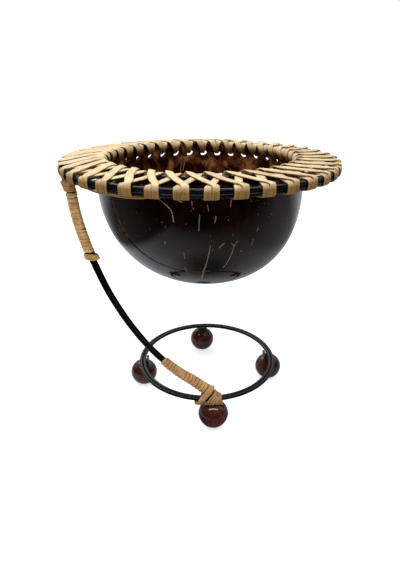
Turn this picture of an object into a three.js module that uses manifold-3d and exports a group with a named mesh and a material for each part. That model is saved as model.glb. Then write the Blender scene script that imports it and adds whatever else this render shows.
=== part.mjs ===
// Footed coconut bowl: a lacquered half shell laced with cane into a hoop of two rods,
// held by a curved arm on a ring with four bead feet. Millimetres, +Z up.
// Origin: on the table, under the centre of the hoop.
import * as THREE from 'three';
import { mergeVertices } from 'three/addons/utils/BufferGeometryUtils.js';
import Module from 'manifold-3d';

const wasm = await Module();
wasm.setup();

// Driving sizes
const seatGap = 0.3;
const rodDiameter = 2.4;
const rodSides = 8;

const hoopRadius = 87;
const hoopAboveRing = 151.3;
const hoopSteps = 60;

const shellRadius = 67;
const shellWall = 3;
const shellWidestBelowHoop = 10.3;
const shellDepthBelowWidest = 68.3;
const shellRimAboveHoop = 4;
const shellRoundness = 2.28;
// How far the shell's bottom lies to the right of its rim's middle, and how late the lean sets in
const shellLean = 4.1;
const shellLeanPower = 1.5;
const shellArcSteps = 8;
const rimChamfer = 0.5;

const wrapCount = 38;
const firstWrapAngle = -0.4;
const firstHoleAngle = -4.4;
// The holes were drilled by eye, so they run ahead of their even places on one side
const holeDrift = -1.6;
const holeRadius = 2.6;
const holeSides = 6;
const holeBelowRim = 7.7;
const caneWidth = 3.6;
const caneThickness = 0.8;
const caneWidthOnTop = 3.2;
const caneWidthInHole = 2.4;
const caneSideGap = 0.4;
// Share of the way sideways from a wrap to its hole: halfway to the rim, on the rim, just inside it
const leanAtSpread = 0.25;
const leanAtRim = 0.5;
const leanInsideRim = 0.56;
// Share of the way out from the shell to the hoop where a strip has spread to its own side
const fanOutShare = 0.3;
const bendStep = 45;
// How far a strip has turned over, in degrees, where it leaves the rim
const turnedAtRim = 135;

const ringRadius = 50.6;
const ringOffset = 4.8;
const ringSteps = 40;
const beadDiameter = 20.4;
const beadFlatRadius = 3.2;
const beadDropBelowRing = 13;
// Degrees round the ring from the right, counterclockwise seen from above
const beadAngles = { front: -84.9, right: 9.2, back: 95.1, left: 180.6 };
const beadArcSteps = 7;
const beadSides = 16;
const bracketTopWidth = 7.4;
const bracketFootWidth = 5.4;
const bracketBelowRing = 0.3;
const bracketHeight = 5.6;
const bracketThickness = 1.6;
// The front bead's bracket is narrower, because it stands between the lashings
const frontBracketTopWidth = 4.4;
const frontBracketFootWidth = 3.2;

const armHoopAngle = 202.95;
const armRingAngle = -82;
// Shape of the arm in its own upright plane: share of its reach, share of its rise
const armShape = [
  [0.015, 1],
  [0.042, 0.93],
  [0.056, 0.849],
  [0.096, 0.732],
  [0.143, 0.637],
  [0.239, 0.482],
  [0.379, 0.325],
  [0.533, 0.2],
  [0.706, 0.103],
  [0.826, 0.057],
  [0.893, 0.027],
  [0.96, 0.004],
  [1.07, 0],
];

const armRodPoints = 24;
const armRodSteps = 30;

const bindingThickness = 0.8;
const upperBinding = { start: 4, turns: 9, pitch: 4.55, width: 3.65 };
const tieBand = { start: 48.4, turns: 2, pitch: 2.1, width: 1.45 };
const lowerBinding = { turns: 12, pitch: 2.3, width: 1.5 };
const lowerBindingFromFoot = 22.6;
// Slanted lashings round the ring and the arm's foot, on either side of the front bead's bracket
const leftLashing = { start: -10.6, turns: 2, pitch: 3, width: 2.3, lean: 0.55 };
const rightLashing = { start: 3, turns: 2, pitch: 2.6, width: 1.7, lean: -0.55 };
const lashingSquareness = 3;
const lashingSlack = 1.6;
const lashingLift = 0.8;
const stepsPerTurn = 12;

// Worked-out sizes
const rodRadius = rodDiameter / 2;
const rodPitch = rodDiameter + seatGap;
const beadRadius = beadDiameter / 2;
const beadFlatDrop = Math.sqrt(beadRadius ** 2 - beadFlatRadius ** 2);
const ringHeight = beadFlatDrop + beadDropBelowRing;
const hoopHeight = ringHeight + hoopAboveRing;
const shellWidestHeight = hoopHeight - shellWidestBelowHoop;
const rimHeight = hoopHeight + shellRimAboveHoop;
const holeHeight = rimHeight - holeBelowRim;
const wrapStep = (2 * Math.PI) / wrapCount;
const frontBeadAngle = THREE.MathUtils.degToRad(beadAngles.front);

const materials = {
  shell: new THREE.MeshStandardMaterial({ color: 0x2b1411, roughness: 0.22, metalness: 0 }),
  rod: new THREE.MeshStandardMaterial({ color: 0x0c0c0e, roughness: 0.3, metalness: 0.1 }),
  cane: new THREE.MeshStandardMaterial({ color: 0xdcc393, roughness: 0.62, metalness: 0 }),
  binding: new THREE.MeshStandardMaterial({ color: 0xb98a52, roughness: 0.66, metalness: 0 }),
  bead: new THREE.MeshStandardMaterial({ color: 0x421b18, roughness: 0.25, metalness: 0 }),
};

const model = new THREE.Group();

// Merges a geometry's shared points, drops flattened triangles and turns its faces outwards
function weld(geometry) {
  const bare = geometry.clone();
  bare.deleteAttribute('normal');
  bare.deleteAttribute('uv');
  const merged = mergeVertices(bare, 1e-4);
  const position = merged.getAttribute('position');
  const index = merged.getIndex().array;
  const corners = [new THREE.Vector3(), new THREE.Vector3(), new THREE.Vector3()];
  const kept = [];
  let volume = 0;
  for (let i = 0; i < index.length; i += 3) {
    const [a, b, c] = [index[i], index[i + 1], index[i + 2]];
    if (a === b || b === c || c === a) continue;
    [a, b, c].forEach((vertex, k) => corners[k].fromBufferAttribute(position, vertex));
    volume += corners[0].dot(corners[1].clone().cross(corners[2]));
    kept.push(a, b, c);
  }
  if (volume < 0) kept.reverse();
  const result = new THREE.BufferGeometry();
  result.setAttribute('position', position.clone());
  result.setIndex(kept);
  return result;
}

function solidOf(geometry) {
  const welded = weld(geometry);
  const vertProperties = Float32Array.from(welded.getAttribute('position').array);
  const triVerts = Uint32Array.from(welded.getIndex().array);
  return new wasm.Manifold(new wasm.Mesh({ numProp: 3, vertProperties, triVerts }));
}

function geometryOf(solid) {
  const mesh = solid.getMesh();
  const geometry = new THREE.BufferGeometry();
  geometry.setAttribute('position', new THREE.BufferAttribute(mesh.vertProperties, 3));
  geometry.setIndex(new THREE.BufferAttribute(mesh.triVerts, 1));
  return geometry;
}

function addPiece(name, geometry, material) {
  const piece = new THREE.Mesh(geometry, material);
  piece.name = name;
  model.add(piece);
  return piece;
}

// A point at a radius, an angle and a height round the hoop's axis
function around(radius, angle, height) {
  return new THREE.Vector3(radius * Math.cos(angle), radius * Math.sin(angle), height);
}

// Joins rings of points into one skin, closed on itself or capped at both ends
function skinOver(rings, closed) {
  const count = rings[0].length;
  const points = rings.flat();
  const index = [];
  const joins = closed ? rings.length : rings.length - 1;
  for (let i = 0; i < joins; i += 1) {
    const here = i * count;
    const next = ((i + 1) % rings.length) * count;
    for (let k = 0; k < count; k += 1) {
      const l = (k + 1) % count;
      index.push(here + k, next + k, next + l, here + k, next + l, here + l);
    }
  }
  if (!closed) {
    const last = (rings.length - 1) * count;
    for (let k = 1; k < count - 1; k += 1) {
      index.push(0, k, k + 1, last, last + k + 1, last + k);
    }
  }
  const geometry = new THREE.BufferGeometry().setFromPoints(points);
  geometry.setIndex(index);
  return weld(geometry);
}

// The shell's wall, outside or inside, as a radius at a height below or above its widest plane
function shellProfileRadius(height, inset) {
  const below = shellWidestHeight - height;
  const share = Math.min(Math.abs(below) / (shellDepthBelowWidest - inset), 1);
  return (shellRadius - inset) * (1 - share ** shellRoundness) ** (1 / shellRoundness);
}

function shellProfile() {
  const profile = [];
  const wallPoint = (step, inset) => {
    const turn = (step / shellArcSteps) * (Math.PI / 2);
    const depth = (shellDepthBelowWidest - inset) * Math.cos(turn) ** (2 / shellRoundness);
    const height = shellWidestHeight - depth;
    return new THREE.Vector2(shellProfileRadius(height, inset), height);
  };
  profile.push(new THREE.Vector2(0, shellWidestHeight - shellDepthBelowWidest));
  for (let i = 1; i <= shellArcSteps; i += 1) {
    profile.push(wallPoint(i, 0));
  }
  profile.push(new THREE.Vector2(shellProfileRadius(hoopHeight, 0), hoopHeight));
  const rimOuter = shellProfileRadius(rimHeight, 0);
  const rimInner = rimOuter - shellWall;
  profile.push(new THREE.Vector2(rimOuter, rimHeight - rimChamfer));
  profile.push(new THREE.Vector2(rimOuter - rimChamfer, rimHeight));
  profile.push(new THREE.Vector2(rimInner + rimChamfer, rimHeight));
  profile.push(new THREE.Vector2(rimInner, rimHeight - rimChamfer));
  for (let i = shellArcSteps; i >= 1; i -= 1) {
    profile.push(wallPoint(i, shellWall));
  }
  profile.push(new THREE.Vector2(0, shellWidestHeight - shellDepthBelowWidest + shellWall));
  return profile;
}

// Leans the shell to the right, not at all at its widest and most at its bottom
function leanShell(geometry) {
  const position = geometry.getAttribute('position');
  for (let i = 0; i < position.count; i += 1) {
    const below = Math.max(shellWidestHeight - position.getZ(i), 0);
    const share = below / shellDepthBelowWidest;
    position.setX(i, position.getX(i) + shellLean * share ** shellLeanPower);
  }
}

function wrapAngle(wrap) {
  return THREE.MathUtils.degToRad(firstWrapAngle) + wrap * wrapStep;
}

function holeAngle(hole) {
  const drift = THREE.MathUtils.degToRad(holeDrift) * Math.sin(hole * wrapStep);
  return THREE.MathUtils.degToRad(firstHoleAngle) + hole * wrapStep + drift;
}

function makeShell() {
  const body = new THREE.LatheGeometry(shellProfile(), wrapCount * 2);
  body.rotateX(Math.PI / 2);
  leanShell(body);
  const drillLength = shellWall * 4;
  const drillMiddle = shellProfileRadius(holeHeight, shellWall / 2);
  let solid = solidOf(body);
  for (let i = 0; i < wrapCount; i += 1) {
    const drill = new THREE.CylinderGeometry(holeRadius, holeRadius, drillLength, holeSides);
    drill.rotateZ(Math.PI / 2);
    drill.translate(drillMiddle, 0, holeHeight);
    drill.rotateZ(holeAngle(i));
    solid = solid.subtract(solidOf(drill));
  }
  addPiece('coconut_shell', geometryOf(solid), materials.shell);
}

function makeHoop() {
  for (const [name, side] of [['hoop_upper_rod', 1], ['hoop_lower_rod', -1]]) {
    const rod = weld(new THREE.TorusGeometry(hoopRadius, rodRadius, rodSides, hoopSteps));
    addPiece(name, rod, materials.rod).position.z = hoopHeight + (side * rodPitch) / 2;
  }
}

// One turn of lacing as stations: under the hoop, round its two rods, across to the shell's rim, down
// inside it and out through a hole. Each station has a radius, a height, the way it faces in degrees,
// its share of the way sideways from wrap to hole, its shift to its own side and its width.
function lacingTurn(lean, layer) {
  const near = seatGap + caneThickness / 2;
  const raised = near + layer * (caneThickness + seatGap);
  const ownSide = (-lean * (caneWidth + caneSideGap)) / 2;
  const rimOuter = shellProfileRadius(rimHeight, 0);
  const rimInner = rimOuter - shellWall;
  const wallOuter = shellProfileRadius(holeHeight, 0);
  const wallInner = wallOuter - shellWall;
  const upper = hoopHeight + rodPitch / 2;
  const lower = hoopHeight - rodPitch / 2;
  const topHeight = rimHeight + raised;
  const overHoop = upper + rodRadius + raised;
  const threadHeight = holeHeight + holeRadius * Math.cos(Math.PI / holeSides) - raised;
  const fanOut = THREE.MathUtils.lerp(wallOuter, hoopRadius, fanOutShare);

  const stations = [];
  const add = (radius, height, facing, share, shift, width) => {
    stations.push({ radius, height, facing, share, shift, width });
  };
  const bend = (rodHeight, steps, off) => {
    const facing = steps * bendStep;
    const reach = (rodRadius + off) / Math.cos(THREE.MathUtils.degToRad(bendStep / 2));
    const turn = THREE.MathUtils.degToRad(facing);
    const radius = hoopRadius + reach * Math.cos(turn);
    add(radius, rodHeight + reach * Math.sin(turn), facing, 0, ownSide, caneWidth);
  };
  add(fanOut, threadHeight, -90, 0, ownSide, caneWidth);
  bend(lower, -1.5, near);
  bend(lower, -0.5, near);
  bend(upper, 0.5, near);
  bend(upper, 1.5, raised);
  const spreadRadius = (rimOuter + hoopRadius) / 2;
  add(spreadRadius, (topHeight + overHoop) / 2, 90, leanAtSpread, ownSide / 2, caneWidthOnTop);
  add(rimOuter, topHeight, 90, leanAtRim, 0, caneWidthOnTop);
  add(rimInner - raised, topHeight, turnedAtRim, leanInsideRim, 0, caneWidthOnTop);
  add(wallInner - raised, threadHeight, -turnedAtRim, 1, 0, caneWidthInHole);
  add(wallOuter + near, threadHeight, -90, 1, 0, caneWidthInHole);
  return stations;
}

function laceRings(lean, layer) {
  const turn = lacingTurn(lean, layer);
  const reach = caneThickness / 2;
  const rings = [];
  for (let i = 0; i < wrapCount; i += 1) {
    const wrap = i * lean;
    for (const { radius, height, facing, share, shift, width } of turn) {
      const straight = THREE.MathUtils.lerp(wrapAngle(wrap), holeAngle(wrap + lean), share);
      const angle = straight + shift / radius;
      const halfTurn = width / 2 / radius;
      const way = THREE.MathUtils.degToRad(facing);
      const [outward, upward] = [Math.cos(way) * reach, Math.sin(way) * reach];
      rings.push([
        around(radius + outward, angle - halfTurn, height + upward),
        around(radius + outward, angle + halfTurn, height + upward),
        around(radius - outward, angle + halfTurn, height - upward),
        around(radius - outward, angle - halfTurn, height - upward),
      ]);
    }
  }
  return rings;
}

function makeLacing() {
  for (const [name, lean, layer] of [['under_lacing', 1, 0], ['over_lacing', -1, 1]]) {
    const rings = laceRings(lean, layer);
    const halfTurn = rings.length / wrapCount / 2;
    console.log(`${name}: least gap between turns ${leastGap(rings, halfTurn, true).toFixed(2)} mm`);
    addPiece(name, skinOver(rings, true), materials.cane);
  }
}

const ringCentre = new THREE.Vector3(ringOffset, 0, ringHeight);

function ringPoint(radius, angle, height) {
  return around(radius, angle, height).add(new THREE.Vector3(ringCentre.x, ringCentre.y, 0));
}

function makeBaseRing() {
  for (const [name, side] of [['base_ring_outer_rod', 1], ['base_ring_inner_rod', -1]]) {
    const radius = ringRadius + (side * rodPitch) / 2;
    const rod = weld(new THREE.TorusGeometry(radius, rodRadius, rodSides, ringSteps));
    addPiece(name, rod, materials.rod).position.copy(ringCentre);
  }
}

function bracketShape(topWidth, footWidth, clearance) {
  const top = -bracketBelowRing;
  const shape = new THREE.Shape();
  shape.moveTo(-topWidth / 2 - clearance, top);
  shape.lineTo(-footWidth / 2 - clearance, top - bracketHeight - clearance);
  shape.lineTo(footWidth / 2 + clearance, top - bracketHeight - clearance);
  shape.lineTo(topWidth / 2 + clearance, top);
  shape.closePath();
  const depth = bracketThickness + clearance * 2;
  const tab = new THREE.ExtrudeGeometry(shape, { depth, bevelEnabled: false });
  tab.translate(0, 0, -depth / 2);
  tab.rotateX(Math.PI / 2);
  tab.rotateZ(Math.PI / 2);
  tab.translate(-(rodPitch / 2 + rodRadius + seatGap + bracketThickness / 2), 0, 0);
  return tab;
}

function beadProfile() {
  const start = Math.asin(beadFlatRadius / beadRadius);
  const profile = [new THREE.Vector2(0, -beadFlatDrop)];
  for (let i = 0; i <= beadArcSteps; i += 1) {
    const turn = start + ((Math.PI - start) * i) / beadArcSteps;
    profile.push(new THREE.Vector2(beadRadius * Math.sin(turn), -beadRadius * Math.cos(turn)));
  }
  profile[profile.length - 1].x = 0;
  return profile;
}

function makeFeet() {
  for (const [place, beadAngle] of Object.entries(beadAngles)) {
    const angle = THREE.MathUtils.degToRad(beadAngle);
    const topWidth = place === 'front' ? frontBracketTopWidth : bracketTopWidth;
    const footWidth = place === 'front' ? frontBracketFootWidth : bracketFootWidth;
    const foot = new THREE.Group();
    foot.position.copy(ringPoint(ringRadius, angle, ringHeight));
    foot.rotation.z = angle;
    const bead = new THREE.LatheGeometry(beadProfile(), beadSides);
    bead.rotateX(Math.PI / 2);
    bead.translate(0, 0, -beadDropBelowRing);
    const slotted = solidOf(bead).subtract(solidOf(bracketShape(topWidth, footWidth, seatGap)));
    const beadMesh = addPiece(`foot_bead_${place}`, geometryOf(slotted), materials.bead);
    const tab = weld(bracketShape(topWidth, footWidth, 0));
    const bracketMesh = addPiece(`foot_bracket_${place}`, tab, materials.rod);
    foot.add(beadMesh, bracketMesh);
    model.add(foot);
  }
}

// The arm's upright plane runs from the hoop to the front of the ring
const armTop = around(hoopRadius, THREE.MathUtils.degToRad(armHoopAngle), 0);
const armFoot = ringPoint(ringRadius, THREE.MathUtils.degToRad(armRingAngle), 0);
const armTopHeight = hoopHeight - rodPitch / 2 - rodRadius - seatGap;
const armFootHeight = ringHeight + rodDiameter + seatGap + rodPitch / 2;
const armReach = armFoot.distanceTo(armTop);
const armWay = armFoot.clone().sub(armTop).normalize();
const armSideways = new THREE.Vector3(-armWay.y, armWay.x, 0);

function armPoint([reachShare, riseShare]) {
  const height = THREE.MathUtils.lerp(armFootHeight, armTopHeight, riseShare);
  return armTop.clone().addScaledVector(armWay, armReach * reachShare).setZ(height);
}

const armMiddle = new THREE.CatmullRomCurve3(armShape.map(armPoint), false, 'centripetal');
armMiddle.arcLengthDivisions = armRodPoints * armRodSteps;
const armLength = armMiddle.getLength();

// Where the arm is, which way it runs and which way is up out of its curve, at a length along it
function armFrame(length) {
  const share = THREE.MathUtils.clamp(length / armLength, 0, 1);
  const point = armMiddle.getPointAt(share);
  const along = armMiddle.getTangentAt(share);
  const up = new THREE.Vector3().crossVectors(armSideways, along).negate().normalize();
  return { point, along, up, side: armSideways };
}

function makeArm() {
  for (const [name, side] of [['arm_outer_rod', -1], ['arm_inner_rod', 1]]) {
    const points = [];
    for (let i = 0; i <= armRodPoints; i += 1) {
      const { point, up } = armFrame((armLength * i) / armRodPoints);
      points.push(point.addScaledVector(up, (side * rodPitch) / 2));
    }
    points[0].z = armTopHeight;
    const path = new THREE.CatmullRomCurve3(points);
    const section = new THREE.Shape();
    section.absarc(0, 0, rodRadius, 0, Math.PI * 2);
    const rod = new THREE.ExtrudeGeometry(section, {
      steps: armRodSteps, curveSegments: rodSides / 2, bevelEnabled: false, extrudePath: path,
    });
    addPiece(name, weld(rod), materials.rod);
  }
}

// A point of a loop drawn tight round two rods side by side, and the way it faces
function loopAround(turn, halfSpan, reach) {
  const way = new THREE.Vector2(Math.cos(turn), Math.sin(turn));
  const lift = Math.abs(way.y) < 1e-9 ? 0 : Math.sign(way.y) * halfSpan;
  return { way, side: way.x * reach, up: way.y * reach + lift };
}

// A flat strip wound round a pair of rods, as rings of four corners
function windingRings(frameAt, { start, turns, pitch, width }, loopAt) {
  const rings = [];
  const total = turns * stepsPerTurn;
  for (let i = 0; i <= total; i += 1) {
    const turn = ((i + 0.5) / stepsPerTurn) * Math.PI * 2;
    const length = start + (pitch * i) / stepsPerTurn;
    const frame = frameAt(length);
    const { point, along, up, side } = frame;
    const loop = loopAt(turn, frame);
    const middle = point.clone().addScaledVector(side, loop.side).addScaledVector(up, loop.up);
    const away = side.clone().multiplyScalar(loop.way.x).addScaledVector(up, loop.way.y);
    const corner = (out, on) => middle.clone()
      .addScaledVector(away, (out * bindingThickness) / 2)
      .addScaledVector(along, (on * width) / 2);
    rings.push([corner(1, -1), corner(1, 1), corner(-1, 1), corner(-1, -1)]);
  }
  return rings;
}

// The least gap of a strip to itself, from the points of its edges half a turn or more apart
function leastGap(rings, halfTurn, closed) {
  let least = Infinity;
  for (let i = 0; i < rings.length; i += 1) {
    for (let j = i + halfTurn; j < rings.length; j += 1) {
      const wayRound = closed ? rings.length - j + i : halfTurn;
      if (wayRound < halfTurn) continue;
      for (const point of rings[i]) {
        least = Math.min(least, ...rings[j].map((other) => point.distanceTo(other)));
      }
    }
  }
  return least;
}

function makeBindings() {
  const reach = (rodRadius + seatGap + bindingThickness / 2) / Math.cos(Math.PI / stepsPerTurn);
  const lowerStart = armLength - lowerBindingFromFoot - lowerBinding.turns * lowerBinding.pitch;
  const bindings = {
    upper_binding: upperBinding,
    tie_band: tieBand,
    lower_binding: { ...lowerBinding, start: lowerStart },
  };
  for (const [name, binding] of Object.entries(bindings)) {
    const rings = windingRings(armFrame, binding, (turn) => loopAround(turn, rodPitch / 2, reach));
    const least = leastGap(rings, stepsPerTurn / 2, false).toFixed(2);
    console.log(`${name}: least gap between turns ${least} mm`);
    addPiece(name, skinOver(rings, false), materials.binding);
  }
}

// A point of a rounded box drawn round the ring's rods and the arm's, and the way it faces
function boxLoop(turn, halfWidth, halfHeight) {
  const power = 2 / lashingSquareness;
  const share = (value) => Math.sign(value) * Math.abs(value) ** power;
  const slope = (value) => Math.sign(value) * Math.abs(value) ** (2 - power);
  const [x, y] = [Math.cos(turn), Math.sin(turn)];
  const way = new THREE.Vector2(slope(x) / halfWidth, slope(y) / halfHeight).normalize();
  return { way, side: share(x) * halfWidth, up: share(y) * halfHeight };
}

const armMeetsRing = (THREE.MathUtils.degToRad(armRingAngle) - frontBeadAngle) * ringRadius;
const armMeetingLength = armLength - armReach * (armShape.at(-1)[0] - 1);
const bundleFloor = ringHeight - rodRadius;
const bundleHalf = (armFootHeight + rodPitch / 2 + rodRadius - bundleFloor) / 2;

// The top of the arm's rods, over a place along the ring
function bundleTop(length) {
  return armFrame(armMeetingLength + length - armMeetsRing).point.z + rodPitch / 2 + rodRadius;
}

// A lashing's frame at a length along the ring from the front bead, and half its height there
function lashingFrame(length, { lean, width }) {
  const angle = frontBeadAngle + length / ringRadius;
  const top = bundleTop(length + lean * bundleHalf - width / 2);
  const along = new THREE.Vector3(-Math.sin(angle), Math.cos(angle), 0);
  return {
    point: ringPoint(ringRadius, angle, (bundleFloor + top) / 2),
    along,
    up: new THREE.Vector3(0, 0, 1).addScaledVector(along, lean),
    side: new THREE.Vector3(Math.cos(angle), Math.sin(angle), 0),
    halfHeight: (top - bundleFloor) / 2,
  };
}

function makeLashings() {
  const cover = seatGap + bindingThickness / 2;
  const halfWidth = rodPitch / 2 + rodRadius + cover + lashingSlack;
  const loop = (turn, frame) => boxLoop(turn, halfWidth, frame.halfHeight + cover + lashingLift);
  for (const [name, lashing] of [['left_lashing', leftLashing], ['right_lashing', rightLashing]]) {
    const rings = windingRings((length) => lashingFrame(length, lashing), lashing, loop);
    const least = leastGap(rings, stepsPerTurn / 2, false).toFixed(2);
    console.log(`${name}: least gap between turns ${least} mm`);
    addPiece(name, skinOver(rings, false), materials.binding);
  }
}

makeShell();
makeHoop();
makeLacing();
makeBaseRing();
makeFeet();
makeArm();
makeBindings();
makeLashings();

export default model;
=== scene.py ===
import bisect
import math
import random

import bmesh
import bpy
from mathutils import Matrix, Vector


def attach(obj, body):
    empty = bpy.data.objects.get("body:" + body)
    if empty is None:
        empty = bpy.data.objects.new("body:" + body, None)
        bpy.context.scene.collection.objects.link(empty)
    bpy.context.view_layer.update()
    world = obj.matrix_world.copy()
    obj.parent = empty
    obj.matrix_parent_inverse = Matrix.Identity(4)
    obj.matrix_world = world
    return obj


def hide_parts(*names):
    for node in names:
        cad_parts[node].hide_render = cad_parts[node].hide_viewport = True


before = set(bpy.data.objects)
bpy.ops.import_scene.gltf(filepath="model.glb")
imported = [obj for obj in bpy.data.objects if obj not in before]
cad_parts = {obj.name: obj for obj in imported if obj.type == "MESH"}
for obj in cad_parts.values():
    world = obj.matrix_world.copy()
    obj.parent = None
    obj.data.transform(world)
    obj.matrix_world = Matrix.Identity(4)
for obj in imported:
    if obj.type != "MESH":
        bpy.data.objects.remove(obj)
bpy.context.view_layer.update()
scene = bpy.context.scene
mm = 0.001
deg = math.pi / 180
print("frame loaded,", len(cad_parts), "nodes")


# ---- meshes and objects
def makeMesh(name, bm):
    mesh = bpy.data.meshes.new(name)
    bm.to_mesh(mesh)
    bm.free()
    return mesh


def addObject(name, data):
    obj = bpy.data.objects.new(name, data)
    scene.collection.objects.link(obj)
    return obj


# ---- camera: the photograph's own viewpoint, with lengths in mm and picture sizes in pixels
camera = {
    "place": (4.45, -302.36, 225.28),
    "pitch": 0.446,
    "roll": 0.003,
    "focal": 453.13,
    "middle": (206.77, 291.44),
    "picture": (400, 570),
    "sensor": 36,
}


def makeCamera():
    data = bpy.data.cameras.new("camera")
    width, height = camera["picture"]
    longSide = max(width, height)
    data.sensor_width = camera["sensor"]
    data.lens = camera["focal"] * camera["sensor"] / longSide
    data.shift_x = (width / 2 - camera["middle"][0]) / longSide
    data.shift_y = (camera["middle"][1] - height / 2) / longSide
    data.clip_start = 0.01
    turn = Matrix.Rotation(math.pi / 2 - camera["pitch"], 4, "X") @ Matrix.Rotation(camera["roll"], 4, "Z")
    scene.camera = addObject("camera", data)
    scene.camera.matrix_world = Matrix.Translation(Vector(camera["place"]) * mm) @ turn


# ---- node helpers: each makes shader nodes, and sets or links their inputs
def setInputs(tree, node, inputs):
    for name, value in inputs.items():
        socket = node.inputs[name]
        if isinstance(value, bpy.types.NodeSocket):
            tree.links.new(value, socket)
        else:
            socket.default_value = (*value, 1) if socket.type == "RGBA" else value


def addNode(tree, kind, inputs, **settings):
    made = tree.nodes.new(kind)
    for name, value in settings.items():
        setattr(made, name, value)
    setInputs(tree, made, inputs)
    return made


def addMath(tree, operation, first, second=0.0, clamp=False):
    inputs = {0: first, 1: second}
    return addNode(tree, "ShaderNodeMath", inputs, operation=operation, use_clamp=clamp).outputs[0]


def addProduct(tree, product, *others):
    for other in others:
        product = addMath(tree, "MULTIPLY", product, other)
    return product


def addVectorMath(tree, operation, inputs, output="Vector"):
    return addNode(tree, "ShaderNodeVectorMath", inputs, operation=operation).outputs[output]


# A colour ramp from a dictionary of positions and their colours
def addRamp(tree, factor, colours):
    made = addNode(tree, "ShaderNodeValToRGB", {"Fac": factor})
    ramp = made.color_ramp
    ramp.interpolation = "EASE"
    while len(ramp.elements) < len(colours):
        ramp.elements.new(0.5)
    for element, (position, colour) in zip(ramp.elements, colours.items()):
        element.position = position
        element.color = (*colour, 1)
    return made.outputs["Color"]


def addMix(tree, factor, first, second, blend="MIX"):
    inputs = {0: factor, 6: first, 7: second}
    return addNode(tree, "ShaderNodeMix", inputs, data_type="RGBA", blend_type=blend).outputs[2]


# Maps a value's range onto another, and stays within it
def addRange(tree, value, low, high, toLow=0.0, toHigh=1.0):
    inputs = {"Value": value, "From Min": low, "From Max": high, "To Min": toLow, "To Max": toHigh}
    return addNode(tree, "ShaderNodeMapRange", inputs, clamp=True).outputs[0]


def addNoise(tree, vector, scale, detail=3.0, roughness=0.5, output="Fac"):
    inputs = {"Vector": vector, "Scale": scale, "Detail": detail, "Roughness": roughness}
    return addNode(tree, "ShaderNodeTexNoise", inputs).outputs[output]


# Two patterns laid over each other
def addBlend(tree, first, second, share):
    return addMath(tree, "ADD", addProduct(tree, first, share), addProduct(tree, second, 1 - share))


def addAxes(tree, vector):
    return addNode(tree, "ShaderNodeSeparateXYZ", {"Vector": vector}).outputs


def addVector(tree, x, y, z):
    return addNode(tree, "ShaderNodeCombineXYZ", {"X": x, "Y": y, "Z": z}).outputs[0]


# A material with its node tree and the place of what it shades
def newMaterial(name):
    material = bpy.data.materials.new(name)
    material.use_nodes = True
    tree = material.node_tree
    return material, tree, tree.nodes.new("ShaderNodeTexCoord").outputs["Object"]


# Most values of a noise pattern lie in this range
patternRange = (0.3, 0.7)


# Finishes a material: a pair of rough values follows the bump's pattern, a bump has a strength and a depth
def finishMaterial(material, look, colour, pattern=None):
    tree = material.node_tree
    rough = look["rough"]
    if isinstance(rough, tuple):
        rough = addRange(tree, pattern, *patternRange, *rough)
    inputs = {"Base Color": colour, "Roughness": rough, "Specular IOR Level": look.get("specular", 0.5)}
    if "bump" in look:
        strength, depth = look["bump"]
        bump = addNode(tree, "ShaderNodeBump", {"Height": pattern, "Strength": strength, "Distance": depth})
        inputs["Normal"] = bump.outputs[0]
    setInputs(tree, tree.nodes["Principled BSDF"], inputs)
    return material


# ---- studio: a white room, a long lamp above the front and a broad soft one behind, over a pale floor
studio = {
    # A fade has its axis, where it starts and ends, and its values there. The room is lighter at its left
    "roomLight": ("X", -0.8, 0.8, 0.5, 0.34),
    # In reflections the room is dark in front and low down, and paler behind and overhead
    "mirroredBehind": ("Y", -0.2, 0.5, 0.06, 1),
    "mirroredAbove": ("Z", 0.1, 0.6, 0.3, 1.1),
    "floorColour": (0.8, 0.8, 0.8),
    "floorGlow": 0.66,
    "floorSize": 12,
    # In reflections the floor is a white sheet that ends at the left, with painted shade that fades it
    # towards the front and right
    "mirroredGlow": 0.17,
    "mirroredColour": (0.76, 0.77, 0.82),
    "sheetLeft": ("X", -0.185, -0.15, 0.12, 0.8),
    "sheetRight": ("X", -0.02, 0.1, 0, -0.32),
    "sheetFarRight": ("X", 0.14, 0.2, 0, -0.2),
    "sheetFront": ("Y", -0.31, -0.04, 0.02, 1),
    "sheetBehind": ("Y", 0.08, 0.4, 0, 0.8),
    # A painted shadow darkens it round the foot of the front bead: the middle, then the reach of the fade
    # and its values
    "paintedShadowMiddle": (0.01, -0.07, 0),
    "paintedShadow": (0.025, 0.09, 0.2, 1),
    "longLamp": {"size": (1.5, 0.15), "place": (0, -0.41, 1.1), "power": 8},
    "softLamp": {"size": (1.6, 1), "place": (-0.4, 1, 1.3), "power": 11},
}


def addFades(tree, vector, names):
    axes = addAxes(tree, vector)
    return [addRange(tree, axes[studio[name][0]], *studio[name][1:]) for name in names]


# Whether a ray is one that the camera sees by, a reflected one or a scattered one
def addRays(tree):
    rays = tree.nodes.new("ShaderNodeLightPath").outputs
    seen = addMath(tree, "MAXIMUM", rays["Is Camera Ray"], rays["Is Transmission Ray"])
    return seen, rays["Is Glossy Ray"], rays["Is Diffuse Ray"]


def makeWorld():
    world = bpy.data.worlds.new("room")
    world.use_nodes = True
    scene.world = world
    tree = world.node_tree
    way = tree.nodes.new("ShaderNodeTexCoord").outputs["Generated"]
    light, behind, above = addFades(tree, way, ("roomLight", "mirroredBehind", "mirroredAbove"))
    seen, glossy, diffuse = addRays(tree)
    shown = addMath(tree, "MAXIMUM", seen, addProduct(tree, glossy, behind, above))
    strength = addMath(tree, "MAXIMUM", addProduct(tree, diffuse, light), shown)
    setInputs(tree, tree.nodes["Background"], {"Color": (1, 1, 1), "Strength": strength})


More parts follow.
